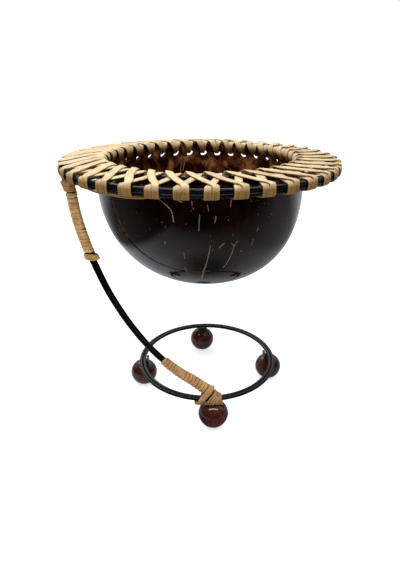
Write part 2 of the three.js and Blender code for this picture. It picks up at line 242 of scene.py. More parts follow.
def makeFloor():
    bm = bmesh.new()
    bmesh.ops.create_grid(bm, x_segments=2, y_segments=2, size=studio["floorSize"] / 2)
    mesh = makeMesh("floor", bm)
    material, tree, place = newMaterial("pale floor")
    mesh.materials.append(material)
    tree.nodes.remove(tree.nodes["Principled BSDF"])
    left, right, farRight, front, behind = addFades(
        tree, place, ("sheetLeft", "sheetRight", "sheetFarRight", "sheetFront", "sheetBehind"),
    )
    sheetAndShade = addMath(tree, "ADD", addMath(tree, "ADD", left, right), farRight)
    # A painted shadow round the front bead's foot, seen in reflections
    away = addVectorMath(tree, "DISTANCE", {0: place, 1: studio["paintedShadowMiddle"]}, "Value")
    paintedShadow = addRange(tree, away, *studio["paintedShadow"])
    sheetAndShade = addProduct(tree, addMath(tree, "MAXIMUM", sheetAndShade, behind), front, paintedShadow)
    seen, glossy, _ = addRays(tree)
    seen = addProduct(tree, seen, studio["floorGlow"])
    # In reflections the floor's glow and colour are the sheet with its painted shade and painted shadow
    mirrored = addProduct(tree, glossy, sheetAndShade, studio["mirroredGlow"])
    dark = addMix(tree, 1.0, studio["mirroredColour"], sheetAndShade, "MULTIPLY")
    colour = addMix(tree, glossy, studio["floorColour"], dark)
    paint = addNode(tree, "ShaderNodeBsdfDiffuse", {"Color": colour})
    glow = addNode(tree, "ShaderNodeEmission", {"Strength": addMath(tree, "MAXIMUM", seen, mirrored)})
    both = addNode(tree, "ShaderNodeAddShader", {0: paint.outputs[0], 1: glow.outputs[0]})
    setInputs(tree, tree.nodes["Material Output"], {"Surface": both.outputs[0]})
    obj = addObject("floor", mesh)


def makeLamp(name):
    lamp = studio[name]
    data = bpy.data.lights.new(name, "AREA")
    data.shape = "RECTANGLE"
    data.size, data.size_y = lamp["size"]
    data.energy = lamp["power"]
    obj = addObject(name, data)
    obj.location = lamp["place"]
    # A lamp shines down its own Z axis, so that axis points away from the bowl
    obj.rotation_euler = Vector(lamp["place"]).to_track_quat("Z", "Y").to_euler()


scene.view_settings.view_transform = "Standard"
makeCamera()
makeWorld()
makeFloor()
makeLamp("longLamp")
makeLamp("softLamp")
print("camera, room, floor and lamps made")


# ---- finished pieces
def finishPiece(name, bm, materials, nodes, sharp=None):
    mesh = makeMesh(name, bm)
    for material in materials:
        mesh.materials.append(material)
    mesh.shade_smooth()
    if sharp:
        mesh.set_sharp_from_angle(angle=sharp * deg)
    obj = addObject(name, mesh)
    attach(obj, "root")
    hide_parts(*nodes)


def around(radius, angle, height):
    return Vector((radius * math.cos(angle), radius * math.sin(angle), height))


def mix(first, second, share):
    return first + (second - first) * share


# A power that keeps the sign
def signedPower(value, power):
    return math.copysign(abs(value) ** power, value)


# Spins a section into a full round form
def spinRound(bm, geom, steps):
    bmesh.ops.spin(
        bm, geom=geom, cent=(0, 0, 0), axis=(0, 0, 1), angle=math.tau, steps=steps, use_merge=True,
    )
    bmesh.ops.remove_doubles(bm, verts=bm.verts, dist=0.001 * mm)
    bmesh.ops.recalc_face_normals(bm, faces=bm.faces)


def roundEdges(bm, edges, size, segments):
    bmesh.ops.bevel(
        bm, geom=edges, offset=size, segments=segments, profile=0.5, affect="EDGES", material=-1,
    )


# A full round form from a profile of radius and height pairs, closed at the poles
def spinProfile(bm, profile, steps):
    chain = [bm.verts.new((profile[0][0], 0, profile[0][1]))]
    for radius, height in profile[1:]:
        grown = bmesh.ops.extrude_vert_indiv(bm, verts=[chain[-1]])["verts"][0]
        grown.co = (radius, 0, height)
        chain.append(grown)
    spinRound(bm, chain + list(bm.edges), steps)


# Steps a path's values smoothly from station to station, as a centripetal curve. The first three values
# of a station are lengths, and they say how far apart two stations are
def smoothStations(stations, spacing):
    before = [2 * a - b for a, b in zip(stations[0], stations[1])]
    after = [2 * a - b for a, b in zip(stations[-1], stations[-2])]
    padded = [before, *stations, after]
    picked = []
    for i in range(len(stations) - 1):
        p = padded[i:i + 4]
        reaches = [math.dist(p[k][:3], p[k + 1][:3]) for k in range(3)]
        gaps = [max(reach, 1e-9) ** 0.5 for reach in reaches]
        steps = max(1, math.ceil(reaches[1] / spacing))
        for step in range(steps):
            t = step / steps
            values = []
            for a, b, c, d in zip(*p):
                start = (b - a) / gaps[0] - (c - a) / (gaps[0] + gaps[1]) + (c - b) / gaps[1]
                end = (c - b) / gaps[1] - (d - b) / (gaps[1] + gaps[2]) + (d - c) / gaps[2]
                start, end = start * gaps[1], end * gaps[1]
                cubic = 2 * b - 2 * c + start + end
                square = -3 * b + 3 * c - 2 * start - end
                values.append(((cubic * t + square) * t + start) * t + b)
            picked.append(values)
    picked.append(list(stations[-1]))
    return picked


# A place on a strip or rod: its middle, half sizes across and through, and its two ways
def placeAt(middle, across, outward, halfWidth, halfThick):
    along = across.cross(outward)
    columns = (across * halfWidth, outward * halfThick, along * mm, middle)
    return Matrix([[column[row] for column in columns] for row in range(3)] + [[0, 0, 0, 1]])


# Places along a strip, from its points with their outward ways and widths. An open strip narrows at both
# ends, to a share of its width; a closed one has no such share
def stripPlaces(line, thick, ends=None, endSteps=4):
    places = []
    count = len(line)
    for i, (point, way, width) in enumerate(line):
        before, after = i - 1, (i + 1) % count
        if ends:
            before, after = max(before, 0), min(i + 1, count - 1)
            width *= mix(ends, 1, min(1, (i + 1) / endSteps, (count - i) / endSteps))
        along = (line[after][0] - line[before][0]).normalized()
        across = way.cross(along).normalized()
        places.append(placeAt(point, across, along.cross(across), width / 2, thick / 2))
    return places


# Adds one short mesh to another
def addMesh(bm, part):
    mesh = makeMesh("part", part)
    bm.from_mesh(mesh)
    bpy.data.meshes.remove(mesh)


# Carries a section along a list of places, a short stretch at a time because a long one is slow
def sweepSection(bm, places, flat=(1, 1), tones=None, corners=12, closed=False, stretch=40):
    layerNames = ("along", "across", "tone")
    for name in layerNames:
        if name not in bm.verts.layers.float:
            bm.verts.layers.float.new(name)
    tones = tones or [0] * len(places)
    travelled = 0
    for first in range(0, len(places) - 1, stretch):
        last = min(first + stretch, len(places) - 1)
        part = bmesh.new()
        along, across, tone = (part.verts.layers.float.new(name) for name in layerNames)
        ring = bmesh.ops.create_circle(part, segments=corners, radius=1)["verts"]
        edges = part.edges[:]
        for vert in ring:
            for axis in range(2):
                vert.co[axis] = signedPower(vert.co[axis], flat[axis])
            vert[along], vert[across], vert[tone] = travelled, vert.co.x, tones[first]
        bmesh.ops.transform(part, matrix=places[first], verts=ring)
        if first == 0 and not closed:
            bmesh.ops.edgeloop_fill(part, edges=edges)
        for number in range(first + 1, last + 1):
            grown = bmesh.ops.extrude_edge_only(part, edges=edges)["geom"]
            ring = [one for one in grown if isinstance(one, bmesh.types.BMVert)]
            own = set(ring)
            edges = [
                one for one in grown if isinstance(one, bmesh.types.BMEdge) and own.issuperset(one.verts)
            ]
            before, after = places[number - 1], places[number]
            bmesh.ops.transform(part, matrix=after @ before.inverted(), verts=ring)
            travelled += (after.translation - before.translation).length
            for vert in ring:
                vert[along], vert[tone] = travelled, tones[number]
        if last == len(places) - 1 and not closed:
            bmesh.ops.edgeloop_fill(part, edges=edges)
        addMesh(bm, part)
    bmesh.ops.remove_doubles(bm, verts=bm.verts, dist=0.01 * mm)
    bmesh.ops.recalc_face_normals(bm, faces=bm.faces)


# ---- black rod paint, thinly worn in streaks. Each pattern has its scale, detail and roughness
rodPaint = {
    "colour": (0.0025, 0.0025, 0.003),
    "worn": (0.012, 0.012, 0.014),
    "wornFrom": (0.5, 0.75),
    "rough": (0.16, 0.3),
    "specular": 0.22,
    "bump": (0.12, 0.1 * mm),
    "speckle": (900, 2),
    "streak": (90, 4, 0.6),
}


def makeRodPaint():
    material, tree, place = newMaterial("black rod paint")
    speckle = addNoise(tree, place, *rodPaint["speckle"])
    worn = addRange(tree, addNoise(tree, place, *rodPaint["streak"]), *rodPaint["wornFrom"])
    colour = addMix(tree, worn, rodPaint["colour"], rodPaint["worn"])
    return finishMaterial(material, rodPaint, colour, speckle)


rodMaterial = makeRodPaint()


# ---- shell: half a coconut, lacquered, drilled below its rim
shell = {
    "radius": 67 * mm,
    "wall": 3 * mm,
    "widest": 163.685 * mm,
    "depth": 68.3 * mm,
    "rim": 177.985 * mm,
    "roundness": 2.28,
    "lean": 4.1 * mm,
    "leanPower": 1.5,
    "arcSteps": 26,
    "holes": 38,
    "firstHole": -4.4 * deg,
    "drift": -1.6 * deg,
    # A hole is an oval: half its length, its shape and its slant, at the left and at the right
    "holeHalf": (2.7 * mm, 2.45 * mm),
    "holeShape": (0.58, 0.85),
    "holeSlant": (-42 * deg, 50 * deg),
    "holeHeight": 170.285 * mm,
    "columns": 8,
    "row": 1.35 * mm,
    "rimRound": 0.8 * mm,
    "holeRound": 0.3 * mm,
    "cornerAngle": 50 * deg,
}


def shellRadiusAt(height):
    share = min(abs(shell["widest"] - height) / shell["depth"], 1)
    power = shell["roundness"]
    return shell["radius"] * (1 - share ** power) ** (1 / power)


def shellLeanAt(height):
    below = max(shell["widest"] - height, 0) / shell["depth"]
    return shell["lean"] * below ** shell["leanPower"]


def holeAngle(hole):
    step = math.tau / shell["holes"]
    return shell["firstHole"] + hole * step + shell["drift"] * math.sin(hole * step)


# How fast the holes run ahead of or behind their even places
def driftRate(hole):
    step = math.tau / shell["holes"]
    return 1 + shell["drift"] * math.cos(hole * step)


# How far a drilled hole reaches from its middle, at a turn round it
def holeReach(hole, turn):
    share = (1 + math.cos(holeAngle(hole))) / 2
    half = mix(*shell["holeHalf"], share)
    shape = mix(*shell["holeShape"], share)
    turn -= mix(*shell["holeSlant"], share ** 2)
    return half * shape / math.hypot(shape * math.cos(turn), math.sin(turn))


# Outside of the shell: amber to black lacquer over the nut's own fibres
lacquer = {
    "colours": {0.35: (0.0024, 0.0007, 0.0004), 0.7: (0.012, 0.003, 0.002)},
    "patch": (42, 4, 0.62),
    # The fine pattern: how much it repeats up the shell, how it shades, and the pale specks in it
    "lift": 9,
    "grain": (26, 5, 0.7),
    "grainShade": (0.35, 0.75, 0.55, 1.5),
    "specks": (60, 1, 0.4),
    "speckFrom": (0.735, 0.775),
    "speckColour": (0.13, 0.09, 0.08),
    "rough": 0.08,
    "bump": (0.06, 0.2 * mm),
    "fibreColour": (0.2, 0.13, 0.105),
    "ragged": (700, 2),
    "raggedWidth": (0.6, 1.4),
    "frontFrom": (-12 * mm, -20 * mm),
    # Fibres that the lacquer shows on the front: half width in mm, then points across and up it
    "fibres": [
        (0.26, (6.5, 139.2), (5.5, 133.7), (4.4, 127.8)),
        (0.34, (4.4, 127.8), (3.8, 124.8), (2.5, 120.6), (1.3, 112.8)),
        (0.24, (21.7, 141.2), (19.9, 138.9), (18.9, 134.3), (17.8, 130.5), (16.1, 126.5), (14.1, 123)),
        (0.2, (18.1, 140.4), (19, 139), (20.5, 138.7)),
        (0.32, (11.4, 137.9), (14, 140.5)),
        (0.34, (9.1, 156.7), (8.9, 153.9)),
        (0.26, (0.5, 158.1), (0.3, 153.9), (0.1, 149)),
        (0.28, (17.4, 165.4), (16.9, 161.9)),
        (0.2, (4.6, 163.2), (5.3, 160)),
        (0.24, (-3.6, 165.1), (-3.4, 163)),
        (0.18, (-13.8, 156.8), (-13.4, 153.4)),
        (0.18, (32.6, 145.6), (33.4, 148.2)),
        (0.16, (30, 137.6), (30.9, 141.1)),
        (0.2, (-8.5, 134.6), (-8.2, 130)),
        (0.22, (-8.6, 123.1), (-7.6, 120.1)),
        (0.26, (-19.3, 141), (-18.9, 139.5)),
        (0.24, (-3.2, 161.8), (-2.6, 160.9)),
    ],
}


# Distances in metres from the lines that join points, which are given in mm across and up
def addDistances(tree, flat, points):
    points = [Vector((across, 0, up)) for across, up in points]
    distances = []
    for before, after in zip(points, points[1:]):
        start, reach = before * mm, (after - before) * mm
        away = addVectorMath(tree, "SUBTRACT", {0: flat, 1: start})
        slope = reach / reach.length_squared
        share = addVectorMath(tree, "DOT_PRODUCT", {0: away, 1: slope}, "Value")
        share = addMath(tree, "MULTIPLY", share, 1, clamp=True)
        nearest = addVectorMath(tree, "SCALE", {0: reach, "Scale": share})
        distances.append(addVectorMath(tree, "DISTANCE", {0: away, 1: nearest}, "Value"))
    return distances


def makeLacquer():
    material, tree, place = newMaterial("shell lacquer")
    axes = addAxes(tree, place)
    # Fibres run up the shell from its bottom, so the fine pattern turns with the way from the axis
    way = addAxes(tree, addVectorMath(tree, "NORMALIZE", {0: addVector(tree, axes["X"], axes["Y"], 0)}))
    stretched = addVector(tree, way["X"], way["Y"], addProduct(tree, axes["Z"], lacquer["lift"]))
    grain = addNoise(tree, stretched, *lacquer["grain"])
    colour = addRamp(tree, addNoise(tree, place, *lacquer["patch"]), lacquer["colours"])
    colour = addMix(tree, 1.0, colour, addRange(tree, grain, *lacquer["grainShade"]), "MULTIPLY")
    specks = addRange(tree, addNoise(tree, stretched, *lacquer["specks"]), *lacquer["speckFrom"])
    colour = addMix(tree, specks, colour, lacquer["speckColour"])
    ragged = addNoise(tree, place, *lacquer["ragged"])
    flat = addVector(tree, axes["X"], 0, axes["Z"])
    shown = 0
    for half, *points in lacquer["fibres"]:
        widths = (half * share * mm for share in lacquer["raggedWidth"])
        width = addRange(tree, ragged, *patternRange, *widths)
        for off in addDistances(tree, flat, points):
            shown = addMath(tree, "MAXIMUM", shown, addMath(tree, "LESS_THAN", off, width))
    front = addRange(tree, axes["Y"], *lacquer["frontFrom"])
    colour = addMix(tree, addProduct(tree, shown, front), colour, lacquer["fibreColour"])
    return finishMaterial(material, lacquer, colour, grain)


# Inside of the shell: clear lacquer over mottled brown nut
nut = {
    "colours": {0.45: (0.02, 0.0022, 0.0008), 0.54: (0.1, 0.032, 0.012), 0.66: (0.36, 0.15, 0.045)},
    "patch": (90, 5, 0.6),
    # The patches are pushed about by another pattern, by so many metres
    "warp": (45, 2),
    "push": 0.02,
    "rough": 0.16,
    "specular": 0.3,
    "bump": (0.25, 0.3 * mm),
    # Lines on the back of the inside: where the back begins, how softly a line ends, and each line's colour,
    # half width in mm, then points across and up it
    "backFrom": (12 * mm, 20 * mm),
    "lineSoftness": 1.6,
    "lines": [
        ((0.17, 0.045, 0.03), 0.26, (5.1, 168.3), (11.4, 165), (16.9, 161.4), (23, 158.4)),
        ((0.3, 0.19, 0.12), 0.22, (-12.1, 167.2), (-13.4, 162.7), (-14.6, 157.3)),
        ((0.24, 0.14, 0.09), 0.18, (-15.7, 163.5), (-16.6, 155.9)),
    ],
}


def makeNut():
    material, tree, place = newMaterial("lacquered nut")
    warp = addNoise(tree, place, *nut["warp"], output="Color")
    shifted = addVectorMath(tree, "MULTIPLY_ADD", {0: warp, 1: (nut["push"],) * 3, 2: place})
    patches = addNoise(tree, shifted, *nut["patch"])
    colour = addRamp(tree, patches, nut["colours"])
    axes = addAxes(tree, place)
    back = addRange(tree, axes["Y"], *nut["backFrom"])
    flat = addVector(tree, axes["X"], 0, axes["Z"])
    for lineColour, half, *points in nut["lines"]:
        for off in addDistances(tree, flat, points):
            shown = addRange(tree, off, half * mm, half * nut["lineSoftness"] * mm, 1, 0)
            colour = addMix(tree, addProduct(tree, shown, back), colour, lineColour)
    return finishMaterial(material, nut, colour, patches)


# Cut edges of the shell: the rim and the holes' walls. They are paler than the lacquer, partly as a cut is
# and partly as a painted highlight along the rim
cutEdge = {
    "colours": {0.35: (0.05, 0.022, 0.016), 0.68: (0.16, 0.1, 0.085)},
    "patch": (260, 4, 0.65),
    "rough": 0.25,
}


def makeCutEdge():
    material, tree, place = newMaterial("cut shell edge")
    speckle = addNoise(tree, place, *cutEdge["patch"])
    return finishMaterial(material, cutEdge, addRamp(tree, speckle, cutEdge["colours"]))


def shellProfile():
    profile = []
    power = shell["roundness"]
    for step in range(shell["arcSteps"] + 1):
        turn = step / shell["arcSteps"] * math.pi / 2
        height = shell["widest"] - shell["depth"] * math.cos(turn) ** (2 / power)
        profile.append((0 if step == 0 else shellRadiusAt(height), height))
    for row in range(-4, 5):
        height = shell["holeHeight"] + row * shell["row"]
        profile.append((shellRadiusAt(height), height))
    profile.append((shellRadiusAt(shell["rim"]), shell["rim"]))
    return profile


def makeShell():
    bm = bmesh.new()
    columns = shell["columns"]
    steps = columns * shell["holes"]
    spinProfile(bm, shellProfile(), steps)
    if min(bm.faces, key=lambda face: face.calc_center_median().z).normal.z > 0:
        bmesh.ops.reverse_faces(bm, faces=bm.faces)
    # Drills the holes: four by four faces come out of each place, and the edge is drawn round
    reach = 2 * shell["row"]
    bottom, top = shell["holeHeight"] - reach, shell["holeHeight"] + reach
    drilled = []
    for face in bm.faces:
        middle = face.calc_center_median()
        column = math.atan2(middle.y, middle.x) / math.tau * steps
        if bottom < middle.z < top and (column + 2) % columns < 4:
            drilled.append(face)
    bmesh.ops.delete(bm, geom=drilled, context="FACES")
    for vert in bm.verts:
        column = math.atan2(vert.co.y, vert.co.x) / math.tau * steps
        hole = round(column / columns)
        off = (column / columns - hole) * math.tau / shell["holes"] * vert.co.xy.length
        up = vert.co.z - shell["holeHeight"]
        if vert.is_boundary and abs(up) < reach + shell["row"] / 2:
            size = holeReach(hole, math.atan2(up, off)) / math.hypot(off, up)
            off, up = off * size, up * size
        if vert.co.xy.length > mm:
            height = shell["holeHeight"] + up
            radius = shellRadiusAt(height) if vert.is_boundary else vert.co.xy.length
            vert.co = around(radius, holeAngle(hole) + off / radius * driftRate(hole), height)
    bmesh.ops.solidify(bm, geom=bm.faces[:], thickness=shell["wall"])
    for vert in bm.verts:
        if vert.co.z > shell["rim"] - shell["row"] / 2:
            vert.co.z = shell["rim"]
    rimEdges, holeEdges = [], []
    for edge in bm.edges:
        if len(edge.link_faces) == 2 and edge.calc_face_angle() > shell["cornerAngle"]:
            high = min(vert.co.z for vert in edge.verts) > shell["rim"] - 0.01 * mm
            (rimEdges if high else holeEdges).append(edge)
    for edges, size, segments in ((rimEdges, shell["rimRound"], 4), (holeEdges, shell["holeRound"], 2)):
        roundEdges(bm, edges, size, segments)
    heart = Vector((0, 0, shell["widest"]))
    for face in bm.faces:
        outward = (face.calc_center_median() - heart).normalized().dot(face.normal)
        face.material_index = 0 if outward > 0.5 else 1 if outward < -0.5 else 2
    for vert in bm.verts:
        vert.co.x += shellLeanAt(vert.co.z)
    finishPiece(
        "shellHalf", bm, [makeLacquer(), makeNut(), makeCutEdge()], ["coconut_shell"], sharp=60,
    )


makeShell()
print("shell made")


# ---- hoop: two round rods, one above the other
hoop = {
    "radius": 87 * mm,
    "height": 173.985 * mm,
    "rod": 1.2 * mm,
    "apart": 2.46 * mm,
    "steps": 144,
    "sides": 20,
}


def makeRoundRod(name, node, middle, radius):
    bm = bmesh.new()
    upright = Matrix.Translation((radius, 0, 0)) @ Matrix.Rotation(math.pi / 2, 4, "X")
    bmesh.ops.create_circle(bm, segments=hoop["sides"], radius=hoop["rod"], matrix=upright)
    spinRound(bm, bm.verts[:] + bm.edges[:], hoop["steps"])
    bmesh.ops.translate(bm, vec=middle, verts=bm.verts)
    finishPiece(name, bm, [rodMaterial], [node])


for name, node, side in (("hoopUpperRod", "hoop_upper_rod", 1), ("hoopLowerRod", "hoop_lower_rod", -1)):
    makeRoundRod(name, node, Vector((0, 0, hoop["height"] + side * hoop["apart"] / 2)), hoop["radius"])
print("hoop made")


# ---- cane: pale split cane for the lacing, browner waxed cane for the bindings
cane = {
    "grain": (1, 4, 0.6),
    "cloud": (190, 3),
    "grainShare": 0.62,
    "specular": 0.3,
    "bump": (0.35, 0.25 * mm),
    # Each turn has its own tone, and the edges of a strip are a little darker, partly as the cane's own edge
    # and partly as painted shade between neighbouring strips
    "toneShade": (-1, 2, 0.66, 1.26),
    "edgeShade": (0.8, 1, 1, 0.5),
}
pale = {
    **cane,
    "name": "pale cane",
    # How often the grain repeats along and across a strip, and how much it changes with the tone
    "grainPlace": (110, 5.5, 31),
    "colours": {0.3: (0.42, 0.25, 0.09), 0.44: (0.74, 0.54, 0.28), 0.6: (0.86, 0.68, 0.4)},
    "rough": (0.42, 0.62),
    # Round the hoop, between these heights, painted shade makes a strip darker, and its middle darker than
    # its edges
    "shade": (0.3, 0.165, 0.04),
    "shadeTop": (174.8 * mm, 177.6 * mm, 1, 0),
    "shadeFoot": (168 * mm, 170.4 * mm, 0, 1),
    "shadeEdge": (0.35, 0.9, 1, 0.8),
}
waxed = {
    **cane,
    "name": "waxed cane",
    "colours": {0.3: (0.2, 0.085, 0.02), 0.44: (0.52, 0.28, 0.1), 0.6: (0.82, 0.5, 0.22)},
    "grainPlace": (240, 3.2, 31),
    "rough": (0.35, 0.6),
}


def makeCane(look):
    material, tree, place = newMaterial(look["name"])
    along, across, tone = (
        addNode(tree, "ShaderNodeAttribute", {}, attribute_name=name).outputs["Fac"]
        for name in ("along", "across", "tone")
    )
    scaled = (addProduct(tree, *pair) for pair in zip((along, across, tone), look["grainPlace"]))
    grain = addNoise(tree, addVector(tree, *scaled), *look["grain"])
    cloud = addNoise(tree, place, *look["cloud"])
    colour = addRamp(tree, addBlend(tree, grain, cloud, look["grainShare"]), look["colours"])
    side = addMath(tree, "ABSOLUTE", across)
    # Painted shade round the hoop, which stops below it
    if "shade" in look:
        height = addAxes(tree, place)["Z"]
        top, foot = (addRange(tree, height, *look[key]) for key in ("shadeTop", "shadeFoot"))
        shade = addProduct(tree, top, foot, addRange(tree, side, *look["shadeEdge"]))
        darker = addMix(tree, 1.0, colour, look["shade"], "MULTIPLY")
        colour = addMix(tree, shade, colour, addMix(tree, 0.5, darker, look["shade"]))
    bright = addRange(tree, tone, *look["toneShade"])
    # Darker edges: the cane's own edge and painted shade between strips
    level = addProduct(tree, bright, addRange(tree, side, *look["edgeShade"]))
    return finishMaterial(material, look, addMix(tree, 1.0, colour, level, "MULTIPLY"), grain)


paleCane = makeCane(pale)
waxedCane = makeCane(waxed)


# ---- lacing: two strips of cane that cross at every wrap and hang the shell in the hoop
lacing = {
    "wraps": 38,
    "firstWrap": -0.4 * deg,
    # Widths round the hoop and over the rim, at the front and back and then at the sides
    "width": (3.8 * mm, 4.6 * mm),
    "topWidth": (4.1 * mm, 7.4 * mm),
    "holeWidth": 2.5 * mm,
    "thickness": 0.85 * mm,
    "section": (0.6, 0.95),
    # Gaps to what a strip lies on, and to the other strip
    "gap": 0.03 * mm,
    "stripGap": 0.08 * mm,
    # The turns at the left lie wider apart and are wider there
    "sideBySide": (3.85 * mm, 6.6 * mm),
    "leftWidth": 7 * mm,
    "leftPower": 8,
    "threadOver": 1.5 * mm,
    "threadApart": 0.7 * mm,
    "outsideDrop": 1.3 * mm,
    "sag": 0.51 * mm,
    # Places on the way out to the hoop and on the way in over it, as shares of the way
    "outward": (0.25, 0.65),
    "inward": (0.3, 0.65),
    "standOff": (0.35 * mm, 2.4 * mm),
    "shoulder": 3.4 * mm,
    "bendStep": 30,
    "leanAtRim": 0.66,
    "leanInside": 0.79,
    "leanOnWall": 0.92,
    # Share of the sideways way that is done by the inside of the hole
    "leanAtHole": 0.97,
    "spacing": 1.1 * mm,
    "seed": 5,
    "widthPlay": 0.07,
    "leanPlay": 0.035,
    "sidePlay": 0.22 * mm,
    "liftPlay": 0.3 * mm,
    # A turn's tone starts so far along it, in radians, and fades in over this share of a turn
    "toneStart": 0.4,
    "toneFade": 1 / 12,
    # Loose ends, in mm: a tail under the hoop, a loop beside a wrap and a fibre that hangs down. Each has
    # its width and thickness, then its points
    "strands": [
        (1.4, 0.8, (-65.7, -57.1, 172), (-59.2, -63.6, 171.2), (-51.3, -70.6, 170.6), (-44.9, -74.8, 170.7),
         (-36.9, -79.2, 170.5), (-25.5, -83.5, 171)),
        (0.6, 0.5, (-6.2, -88.6, 177), (-8.1, -89.4, 175.4), (-9.2, -89.5, 173.5), (-9.3, -89.4, 171.6),
         (-7.5, -88.6, 170.2)),
        (0.14, 0.14, (-18.7, -88, 171.8), (-15.7, -88, 169), (-13, -88, 166.1), (-11.9, -88, 160.3)),
    ],
    "strandSpacing": 0.7 * mm,
    "strandSection": (0.7, 0.9),
    "strandEnds": 0.4,
    "strandTone": 0.6,
}


# One turn as stations of radius, height, sideways arc, facing and width
def lacingTurn(lean, layer, wrap, play):
    thick = lacing["thickness"]
    near = thick / 2 + lacing["gap"]
    raised = near + layer * (thick + lacing["stripGap"])
    rimOuter = shellRadiusAt(shell["rim"])
    wallOuter = shellRadiusAt(shell["holeHeight"])
    rimInner, wallInner = rimOuter - shell["wall"], wallOuter - shell["wall"]
    upper = hoop["height"] + hoop["apart"] / 2
    lower = hoop["height"] - hoop["apart"] / 2
    thread = shell["holeHeight"] + lacing["threadOver"] - layer * lacing["threadApart"]
    top = shell["rim"] + raised
    leanPlay, sidePlay, liftPlay, widthPlay = (
        play.uniform(-1, 1) * lacing[key] for key in ("leanPlay", "sidePlay", "liftPlay", "widthPlay")
    )
    start = holeAngle(wrap)
    rise = lacing["firstWrap"] + wrap * math.tau / lacing["wraps"]
    goal = holeAngle(wrap + lean)
    sideways = math.cos(rise) ** 2
    leftward = max(-math.cos(rise), 0) ** lacing["leftPower"]
    side = -lean * mix(*lacing["sideBySide"], leftward) / 2
    hoopWidth, topWidth = mix(*lacing["width"], sideways), mix(*lacing["topWidth"], sideways)
    hoopWidth = mix(hoopWidth, lacing["leftWidth"], leftward)
    stations = []

    def add(radius, height, facing, angle, shift, width):
        arc = (angle + shift / radius) * hoop["radius"]
        stations.append([radius, height, arc, facing * deg, width * (1 + widthPlay)])

    outside = thread - lacing["outsideDrop"]
    for share in lacing["outward"]:
        radius = mix(wallOuter, hoop["radius"], share)
        sag = lacing["sag"] * math.sin(share * math.pi)
        height = mix(outside, lower - hoop["rod"] - near, share) - sag
        add(radius, height, -90, mix(start, rise, share), side * share, topWidth)
    steps = int(90 / lacing["bendStep"])
    for rodHeight, first in ((lower, -90), (upper, 0)):
        for step in range(steps + 1):
            facing = first + step * lacing["bendStep"]
            lift = hoop["rod"] + (raised if first == 0 and step >= steps - 1 else near)
            radius = hoop["radius"] + lift * math.cos(facing * deg)
            height = rodHeight + lift * math.sin(facing * deg)
            add(radius, height, facing, rise, side + sidePlay * max(facing, 0) / 90, hoopWidth)
    for share in lacing["inward"]:
        radius = mix(hoop["radius"], rimOuter, share)
        height = mix(upper + hoop["rod"] + raised, top, share) + liftPlay * math.sin(share * math.pi)
        angle = mix(rise, goal, share * lacing["leanAtRim"] + leanPlay * share)
        add(radius, height, 90, angle, side * (1 - share), topWidth)
    # The strips stand off the inside wall, and most at the left and right
    loose = mix(*lacing["standOff"], abs(math.cos(goal)))
    middle = (top + thread) / 2
    middleInner = shellRadiusAt(middle) - shell["wall"]
    # Over the rim and down to the hole: radius, shares of the lift and of the standing off that come off it,
    # height, facing, share of the sideways way, and width
    for radius, lifted, off, height, facing, share, width in (
        (rimOuter - 0.2 * mm, 0, 0, top, 92, lacing["leanAtRim"] + leanPlay, topWidth),
        (rimInner, 0.55, 0.6, top - 0.25 * mm, 130, lacing["leanInside"] + leanPlay, topWidth * 0.92),
        (middleInner, 1, 1, middle, 180, lacing["leanOnWall"], topWidth * 0.8),
        (wallInner, 0.7, 0.4, thread + 0.9 * mm, 215, lacing["leanAtHole"], hoopWidth * 0.8),
        (wallInner + 0.9 * mm, 0, 0, thread, 268, 1, lacing["holeWidth"]),
        (wallOuter + 0.4 * mm, 0, 0, outside, 270, 1, lacing["holeWidth"]),
    ):
        add(radius - raised * lifted - loose * off, height, facing, mix(rise, goal, share), 0, width)
    return stations


# Evens out the sideways runs, so that a strip turns into its lean in a soft curve
def softenShoulders(path, lap):
    reach = round(lacing["shoulder"] / lacing["spacing"])
    count = len(path)
    arcs = [station[2] for station in path]
    for i, station in enumerate(path):
        total = 0
        for k in range(i - reach, i + reach + 1):
            total += arcs[k % count] + (k // count) * lap
        station[2] = total / (2 * reach + 1)


# A loose strand along its points, flat towards the viewer outside the hoop
def addStrand(bm, strand):
    width, thick, *points = strand
    stations = [[value * mm for value in point] for point in points]
    line = []
    for x, y, z in smoothStations(stations, lacing["strandSpacing"]):
        line.append((Vector((x, y, z)), Vector((x, y, 0)), width * mm))
    places = stripPlaces(line, thick * mm, lacing["strandEnds"])
    sweepSection(bm, places, lacing["strandSection"], [lacing["strandTone"]] * len(places), corners=8)


def makeLacing(name, node, lean, layer):
    play = random.Random(lacing["seed"] + layer)
    wraps = lacing["wraps"]
    stations = []
    for i in range(wraps):
        # The facing grows by a full turn each time, so that it steps smoothly into the next one
        for station in lacingTurn(lean, layer, i * lean, play):
            station[3] += i * math.tau
            stations.append(station)
    lap = [0, 0, lean * math.tau * hoop["radius"], wraps * math.tau, 0]
    before = [[a - b for a, b in zip(station, lap)] for station in stations[-2:]]
    after = [[a + b for a, b in zip(station, lap)] for station in stations[:3]]
    path = smoothStations(before + stations + after, lacing["spacing"])
    # Keeps one lap: from the first station to its own copy one lap on
    path = path[path.index(stations[0]):path.index(after[0])]
    softenShoulders(path, lap[2])
    turnTones = [play.random() for _ in range(wraps)]
    line, tones = [], []
    for radius, height, arc, facing, width in path:
        angle = arc / hoop["radius"]
        way = around(math.cos(facing), angle, math.sin(facing))
        line.append((around(radius, angle, height), way, width))
        turn = (facing + math.pi / 2 + lacing["toneStart"]) / math.tau
        low = math.floor(turn)
        share = max(0, 1 - (low + 1 - turn) / lacing["toneFade"])
        tones.append(mix(turnTones[low % wraps], turnTones[(low + 1) % wraps], share))
    places = stripPlaces(line, lacing["thickness"])
    bm = bmesh.new()
    sweepSection(bm, places + places[:1], lacing["section"], tones + tones[:1], closed=True)
    for strand in lacing["strands"] if layer else []:
        addStrand(bm, strand)
    print(name, "has", len(stations), "stations and", len(places), "places")
    finishPiece(name, bm, [paleCane], [node])


